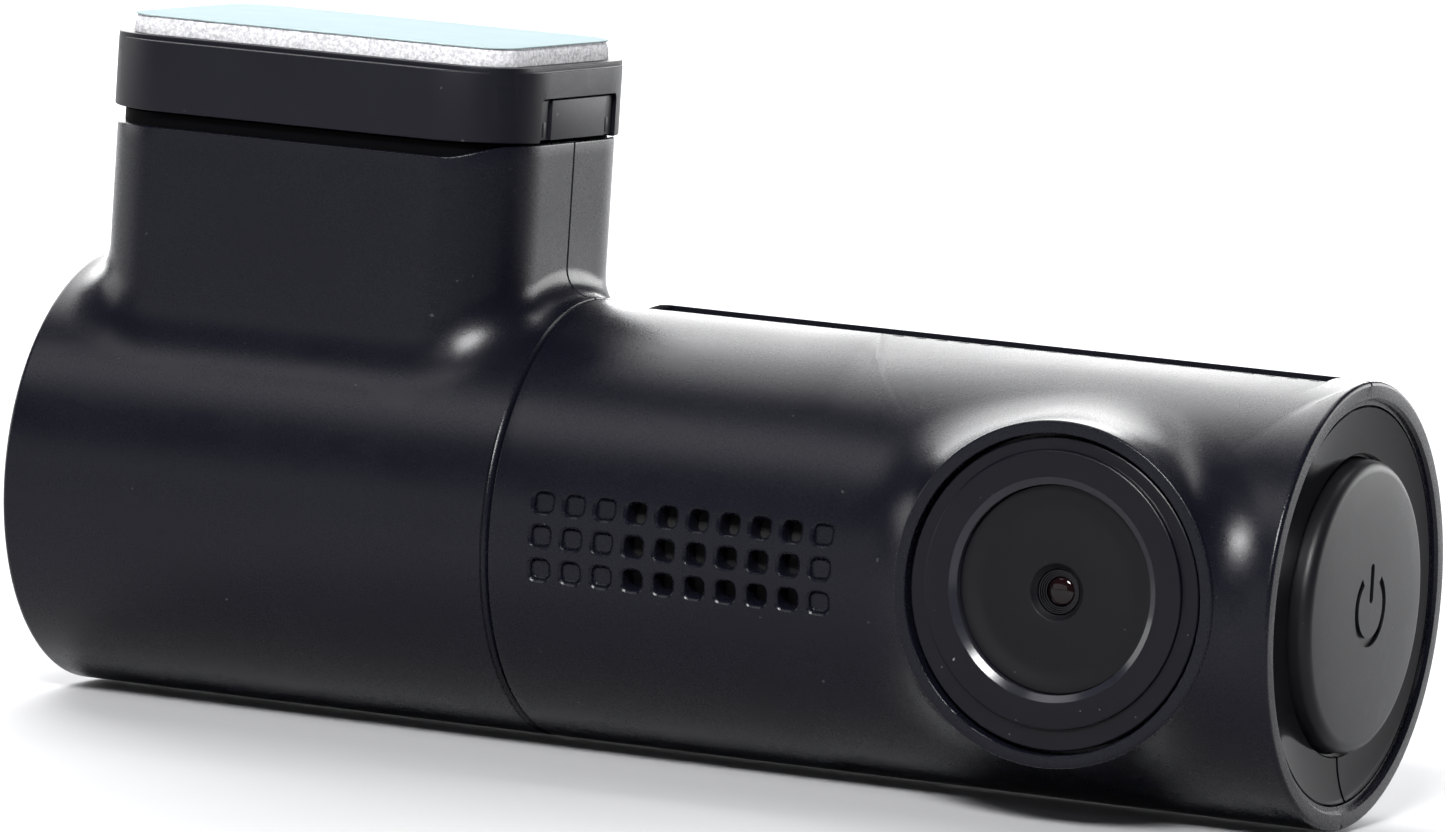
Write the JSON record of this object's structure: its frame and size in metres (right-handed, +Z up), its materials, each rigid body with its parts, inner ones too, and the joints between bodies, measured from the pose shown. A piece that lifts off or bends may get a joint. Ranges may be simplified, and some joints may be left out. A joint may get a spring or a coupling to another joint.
{
  "type": "dash camera",
  "caption": "Cylindrical windscreen dash camera: a turning camera barrel with a lens boss, speaker grille and end button on a fixed base that slides off an adhesive glass bracket.",
  "frame": {"origin": "centre of the outer face of the release liner on top of the adhesive pad, where the part meets the windscreen", "axes": "+Z up into the glass, +X along the barrel from the base to the button end, the lens looks along -Y"},
  "size_m": [0.0952, 0.0309, 0.047],
  "materials": {
    "bracket_plastic": "satin black, fine spark-eroded grain",
    "foam": "closed-cell adhesive foam",
    "liner_film": "thin pale blue film",
    "shell_plastic": "satin black, fine spark-eroded grain",
    "rail_plastic": "glass-filled nylon",
    "tab_plastic": "satin black",
    "sleeve_plastic": "smooth acetal",
    "spring_steel": "spring steel",
    "board_green": "solder-masked laminate",
    "socket_metal": "nickel-plated steel",
    "chip_black": "moulded epoxy",
    "lead_red": "insulated wire",
    "screw_steel": "black zinc",
    "inner_plastic": "moulded carrier",
    "vent_plastic": "dark insert",
    "ring_gloss": "glossy smoked light guide",
    "button_plastic": "satin black",
    "bezel_plastic": "satin black with a polished bevel",
    "face_plastic": "smooth matte disc",
    "tube_black": "black anodised",
    "coated_glass": "coated glass",
    "filter_glass": "infra-red filter",
    "sensor_silicon": "sensor die in its package",
    "pad_blue": "thermal pad",
    "heat_metal": "pressed aluminium",
    "can_metal": "tinned shield can",
    "connector_white": "nylon connector",
    "card_plastic": "memory card body",
    "cone_film": "speaker diaphragm",
    "magnet_metal": "nickel-plated magnet cup",
    "mesh_cloth": "dust cloth",
    "cell_sleeve": "heat-shrink sleeve"
  },
  "bodies": {
    "bracket": {"bracket_plate": "bracket_plastic", "foam_pad": "foam", "release_liner": "liner_film"},
    "base": {"base_front_shell": "shell_plastic", "base_rear_shell": "shell_plastic", "slide_rail": "rail_plastic", "pivot_sleeve": "sleeve_plastic", "friction_washer": "spring_steel", "retaining_clip": "spring_steel", "power_board": "board_green", "power_socket": "socket_metal", "socket_tongue": "chip_black", "power_coil": "chip_black", "power_harness": "lead_red", "base_screws": "screw_steel"},
    "tab": {"release_tab": "tab_plastic"},
    "button": {"power_button": "button_plastic"},
    "card": {"memory_card": "card_plastic"},
    "barrel": {"barrel_front_shell": "shell_plastic", "barrel_rear_shell": "shell_plastic", "hinge_disc": "inner_plastic", "vent_grille": "vent_plastic", "end_carrier": "inner_plastic", "indicator_ring": "ring_gloss", "button_switch": "can_metal", "button_board": "board_green", "lens_bezel": "bezel_plastic", "lens_face": "face_plastic", "lens_tube": "tube_black", "front_lens": "coated_glass", "rear_lens": "coated_glass", "ir_filter": "filter_glass", "lens_holder": "inner_plastic", "image_sensor": "sensor_silicon", "sensor_board": "board_green", "main_board": "board_green", "processor": "chip_black", "memory_chip": "chip_black", "thermal_pad": "pad_blue", "heat_spreader": "heat_metal", "radio_module": "can_metal", "harness_socket": "connector_white", "card_socket": "can_metal", "speaker_frame": "inner_plastic", "speaker_cone": "cone_film", "speaker_magnet": "magnet_metal", "speaker_mesh": "mesh_cloth", "microphone": "can_metal", "storage_cells": "cell_sleeve", "barrel_screws": "screw_steel"}
  },
  "joints": [
    {"name": "bracket_slide", "type": "slide", "parent": "bracket", "child": "base", "axis": [1, 0, 0], "range_m": [0, 0.029]},
    {"name": "tab_press", "type": "slide", "parent": "base", "child": "tab", "axis": [-1, 0, 0], "range_m": [0, 0.0008], "stiffness_N_per_m": 1500},
    {"name": "barrel_turn", "type": "hinge", "parent": "base", "child": "barrel", "pos_m": [0.0186, 0, -0.032], "axis": [-1, 0, 0], "range_deg": [-15, 80]},
    {"name": "button_press", "type": "slide", "parent": "barrel", "child": "button", "axis": [-1, 0, 0], "range_m": [0, 0.0006], "stiffness_N_per_m": 1500},
    {"name": "card_slide", "type": "slide", "parent": "barrel", "child": "card", "axis": [0, 1, 0], "range_m": [0, 0.016]}
  ]
}
